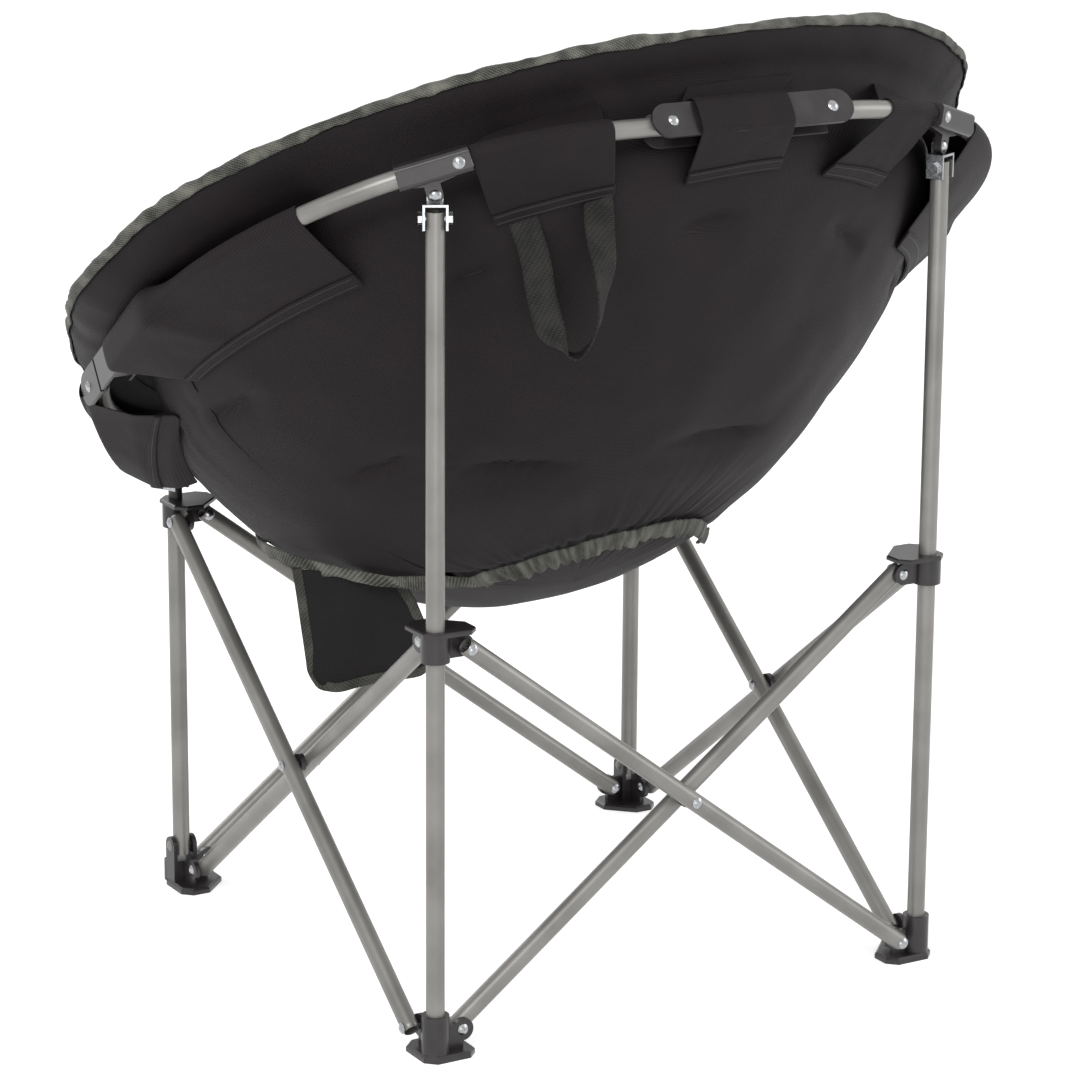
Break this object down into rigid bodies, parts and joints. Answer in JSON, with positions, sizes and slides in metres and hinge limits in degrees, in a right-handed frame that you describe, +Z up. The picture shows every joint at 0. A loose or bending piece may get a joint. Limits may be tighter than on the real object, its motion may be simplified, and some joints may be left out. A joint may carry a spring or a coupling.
{
  "type": "folding saucer chair",
  "caption": "Round padded saucer seat on a folding scissor frame of tubes, with a jointed ring that carries the seat",
  "frame": {"origin": "on the floor, under the middle of the chair's outline", "axes": "+Z up, -Y the way the sitter faces, +X the sitter's left"},
  "size_m": [0.8394, 0.7101, 0.874],
  "materials": {
    "grey_tube": "satin grey powder coat",
    "dark_tube": "satin dark grey",
    "zinc_steel": "zinc plated steel",
    "black_plastic": "moulded, semi-matte",
    "padded_cloth": "charcoal woven polyester, padded",
    "plain_cloth": "charcoal woven polyester",
    "webbing": "black woven webbing"
  },
  "bodies": {
    "rear_left_leg": {"leg_tube_rl": "grey_tube", "foot_rl": "black_plastic"},
    "rear_right_leg": {"leg_tube_rr": "grey_tube", "foot_rr": "black_plastic"},
    "front_left_leg": {"leg_tube_fl": "grey_tube", "foot_fl": "black_plastic"},
    "front_right_leg": {"leg_tube_fr": "grey_tube", "foot_fr": "black_plastic"},
    "rear_left_slider": {"slider_rl": "black_plastic"},
    "rear_right_slider": {"slider_rr": "black_plastic"},
    "front_left_slider": {"slider_fl": "black_plastic", "inner_tube_fl": "dark_tube"},
    "front_right_slider": {"slider_fr": "black_plastic", "inner_tube_fr": "dark_tube"},
    "left_outer_bar": {"left_outer_bar": "grey_tube", "left_outer_rivets": "zinc_steel", "left_spacer": "black_plastic"},
    "left_inner_bar": {"left_inner_bar": "grey_tube", "left_inner_rivets": "zinc_steel"},
    "back_outer_bar": {"back_outer_bar": "grey_tube", "back_outer_rivets": "zinc_steel", "back_spacer": "black_plastic"},
    "back_inner_bar": {"back_inner_bar": "grey_tube", "back_inner_rivets": "zinc_steel"},
    "right_outer_bar": {"right_outer_bar": "grey_tube", "right_outer_rivets": "zinc_steel", "right_spacer": "black_plastic"},
    "right_inner_bar": {"right_inner_bar": "grey_tube", "right_inner_rivets": "zinc_steel"},
    "front_outer_bar": {"front_outer_bar": "grey_tube", "front_outer_rivets": "zinc_steel", "front_spacer": "black_plastic"},
    "front_inner_bar": {"front_inner_bar": "grey_tube", "front_inner_rivets": "zinc_steel"},
    "front_left_yoke": {"yoke_fl": "zinc_steel"},
    "front_left_ring_tube": {"ring_tube_fl": "grey_tube", "ring_bracket_fl": "black_plastic", "ring_rivets_fl": "zinc_steel"},
    "rear_left_yoke": {"yoke_rl": "zinc_steel"},
    "rear_left_ring_tube": {"ring_tube_rl": "grey_tube", "ring_bracket_rl": "black_plastic", "ring_rivets_rl": "zinc_steel"},
    "rear_right_yoke": {"yoke_rr": "zinc_steel"},
    "rear_right_ring_tube": {"ring_tube_rr": "grey_tube", "ring_bracket_rr": "black_plastic", "ring_rivets_rr": "zinc_steel"},
    "front_right_yoke": {"yoke_fr": "zinc_steel"},
    "front_right_ring_tube": {"ring_tube_fr": "grey_tube", "ring_bracket_fr": "black_plastic", "ring_rivets_fr": "zinc_steel"},
    "back_link": {"back_link": "black_plastic"},
    "left_link": {"left_link": "black_plastic"},
    "right_link": {"right_link": "black_plastic"},
    "front_link": {"front_link": "black_plastic"},
    "seat": {"seat_pad": "padded_cloth", "ring_sleeves": "plain_cloth", "side_pockets": "plain_cloth", "carry_strap": "webbing", "hanging_flap": "plain_cloth"}
  },
  "joints": [
    {"name": "fold", "type": "hinge", "parent": "rear_left_leg", "child": "left_outer_bar", "pos_m": [0.25, 0.26535, 0.022], "axis": [-1, 0, 0], "range_deg": [0, 31], "deforming": ["seat_pad", "ring_sleeves", "side_pockets", "carry_strap", "hanging_flap"]},
    {"name": "left_cross", "type": "hinge", "parent": "left_outer_bar", "child": "left_inner_bar", "pos_m": [0.25, 0.04135, 0.1935], "axis": [-1, 0, 0], "range_deg": [-62, 0]},
    {"name": "front_left_foot_pivot", "type": "hinge", "parent": "left_inner_bar", "child": "front_left_leg", "pos_m": [0.25, -0.18265, 0.022], "axis": [-1, 0, 0], "range_deg": [0, 31]},
    {"name": "rear_left_slider_pivot", "type": "hinge", "parent": "left_inner_bar", "child": "rear_left_slider", "pos_m": [0.25, 0.26535, 0.365], "axis": [-1, 0, 0], "range_deg": [0, 31]},
    {"name": "front_left_slider_pivot", "type": "hinge", "parent": "left_outer_bar", "child": "front_left_slider", "pos_m": [0.25, -0.18265, 0.365], "axis": [-1, 0, 0], "range_deg": [-31, 0]},
    {"name": "back_foot_pivot", "type": "hinge", "parent": "rear_left_leg", "child": "back_inner_bar", "pos_m": [0.224, 0.29135, 0.022], "axis": [0, 1, 0], "range_deg": [0, 31]},
    {"name": "back_cross", "type": "hinge", "parent": "back_inner_bar", "child": "back_outer_bar", "pos_m": [0, 0.29135, 0.1935], "axis": [0, 1, 0], "range_deg": [-62, 0]},
    {"name": "rear_right_foot_pivot", "type": "hinge", "parent": "back_outer_bar", "child": "rear_right_leg", "pos_m": [-0.224, 0.29135, 0.022], "axis": [0, 1, 0], "range_deg": [0, 31]},
    {"name": "rear_right_slider_pivot", "type": "hinge", "parent": "back_inner_bar", "child": "rear_right_slider", "pos_m": [-0.224, 0.29135, 0.365], "axis": [0, 1, 0], "range_deg": [-31, 0]},
    {"name": "front_foot_pivot", "type": "hinge", "parent": "front_left_leg", "child": "front_outer_bar", "pos_m": [0.224, -0.20865, 0.022], "axis": [0, 1, 0], "range_deg": [0, 31]},
    {"name": "front_cross", "type": "hinge", "parent": "front_outer_bar", "child": "front_inner_bar", "pos_m": [0, -0.20865, 0.1935], "axis": [0, 1, 0], "range_deg": [-62, 0]},
    {"name": "front_right_foot_pivot", "type": "hinge", "parent": "front_inner_bar", "child": "front_right_leg", "pos_m": [-0.224, -0.20865, 0.022], "axis": [0, 1, 0], "range_deg": [0, 31]},
    {"name": "front_right_slider_pivot", "type": "hinge", "parent": "front_outer_bar", "child": "front_right_slider", "pos_m": [-0.224, -0.20865, 0.365], "axis": [0, 1, 0], "range_deg": [-31, 0]},
    {"name": "right_foot_pivot", "type": "hinge", "parent": "rear_right_leg", "child": "right_inner_bar", "pos_m": [-0.25, 0.26535, 0.022], "axis": [-1, 0, 0], "range_deg": [0, 31]},
    {"name": "right_cross", "type": "hinge", "parent": "right_inner_bar", "child": "right_outer_bar", "pos_m": [-0.25, 0.04135, 0.1935], "axis": [-1, 0, 0], "range_deg": [-62, 0]},
    {"name": "front_left_yoke_bolt", "type": "hinge", "parent": "front_left_slider", "child": "front_left_yoke", "pos_m": [0.25, -0.20865, 0.39892], "axis": [0.8906, 0.4547, 0], "range_deg": [0, 59.6]},
    {"name": "front_left_bracket_pin", "type": "hinge", "parent": "front_left_yoke", "child": "front_left_ring_tube", "pos_m": [0.25, -0.20865, 0.41792], "axis": [0.4547, -0.8906, 0], "range_deg": [-38.8, 0]},
    {"name": "rear_left_yoke_bolt", "type": "hinge", "parent": "rear_left_leg", "child": "rear_left_yoke", "pos_m": [0.25, 0.29135, 0.728], "axis": [-0.8906, 0.4547, 0], "range_deg": [-59.7, 0]},
    {"name": "rear_left_bracket_pin", "type": "hinge", "parent": "rear_left_yoke", "child": "rear_left_ring_tube", "pos_m": [0.25, 0.29135, 0.747], "axis": [0.4547, 0.8906, 0], "range_deg": [-67.1, 0]},
    {"name": "rear_right_yoke_bolt", "type": "hinge", "parent": "rear_right_leg", "child": "rear_right_yoke", "pos_m": [-0.25, 0.29135, 0.728], "axis": [-0.8906, -0.4547, 0], "range_deg": [-59.7, 0]},
    {"name": "rear_right_bracket_pin", "type": "hinge", "parent": "rear_right_yoke", "child": "rear_right_ring_tube", "pos_m": [-0.25, 0.29135, 0.747], "axis": [-0.4547, 0.8906, 0], "range_deg": [0, 67.1]},
    {"name": "front_right_yoke_bolt", "type": "hinge", "parent": "front_right_slider", "child": "front_right_yoke", "pos_m": [-0.25, -0.20865, 0.39892], "axis": [0.8906, -0.4547, 0], "range_deg": [0, 59.6]},
    {"name": "front_right_bracket_pin", "type": "hinge", "parent": "front_right_yoke", "child": "front_right_ring_tube", "pos_m": [-0.25, -0.20865, 0.41792], "axis": [-0.4547, -0.8906, 0], "range_deg": [0, 38.8]},
    {"name": "back_link_knuckle", "type": "hinge", "parent": "rear_left_ring_tube", "child": "back_link", "pos_m": [0.055, 0.33153, 0.7939], "axis": [0.0001, 0.8387, 0.5446], "range_deg": [0, 108.3]},
    {"name": "left_link_knuckle", "type": "hinge", "parent": "rear_left_ring_tube", "child": "left_link", "pos_m": [0.39696, 0.05812, 0.61635], "axis": [0.9964, -0.0711, -0.0462], "range_deg": [0, 96.5]},
    {"name": "right_link_knuckle", "type": "hinge", "parent": "rear_right_ring_tube", "child": "right_link", "pos_m": [-0.39696, 0.05812, 0.61635], "axis": [-0.9964, -0.0711, -0.0462], "range_deg": [-96.5, 0]},
    {"name": "front_link_knuckle", "type": "hinge", "parent": "front_left_ring_tube", "child": "front_link", "pos_m": [0.078, -0.24883, 0.41701], "axis": [0, -0.8387, -0.5446], "range_deg": [0, 53.8]},
    {"name": "seat_swing", "type": "hinge", "parent": "rear_left_leg", "child": "seat", "pos_m": [0, 0.11435, 0.49], "axis": [1, 0, 0], "range_deg": [0, 45]}
  ],
  "couplings": [
    {"joint": "left_cross", "follows": "fold", "ratio": -2},
    {"joint": "front_left_foot_pivot", "follows": "fold", "ratio": 1},
    {"joint": "rear_left_slider_pivot", "follows": "fold", "ratio": 1},
    {"joint": "front_left_slider_pivot", "follows": "fold", "ratio": -1},
    {"joint": "back_foot_pivot", "follows": "fold", "ratio": 1},
    {"joint": "back_cross", "follows": "fold", "ratio": -2},
    {"joint": "rear_right_foot_pivot", "follows": "fold", "ratio": 1},
    {"joint": "rear_right_slider_pivot", "follows": "fold", "ratio": -1},
    {"joint": "front_foot_pivot", "follows": "fold", "ratio": 1},
    {"joint": "front_cross", "follows": "fold", "ratio": -2},
    {"joint": "front_right_foot_pivot", "follows": "fold", "ratio": 1},
    {"joint": "front_right_slider_pivot", "follows": "fold", "ratio": -1},
    {"joint": "right_foot_pivot", "follows": "fold", "ratio": 1},
    {"joint": "right_cross", "follows": "fold", "ratio": -2},
    {"joint": "front_left_yoke_bolt", "follows": "fold", "ratio": 1.9226},
    {"joint": "front_left_bracket_pin", "follows": "fold", "ratio": -1.2516},
    {"joint": "rear_left_yoke_bolt", "follows": "fold", "ratio": -1.9258},
    {"joint": "rear_left_bracket_pin", "follows": "fold", "ratio": -2.1645},
    {"joint": "rear_right_yoke_bolt", "follows": "fold", "ratio": -1.9258},
    {"joint": "rear_right_bracket_pin", "follows": "fold", "ratio": 2.1645},
    {"joint": "front_right_yoke_bolt", "follows": "fold", "ratio": 1.9226},
    {"joint": "front_right_bracket_pin", "follows": "fold", "ratio": 1.2516},
    {"joint": "back_link_knuckle", "follows": "fold", "ratio": 3.4935},
    {"joint": "left_link_knuckle", "follows": "fold", "ratio": 3.1129},
    {"joint": "right_link_knuckle", "follows": "fold", "ratio": -3.1129},
    {"joint": "front_link_knuckle", "follows": "fold", "ratio": 1.7355},
    {"joint": "seat_swing", "follows": "fold", "ratio": 1.4516}
  ]
}
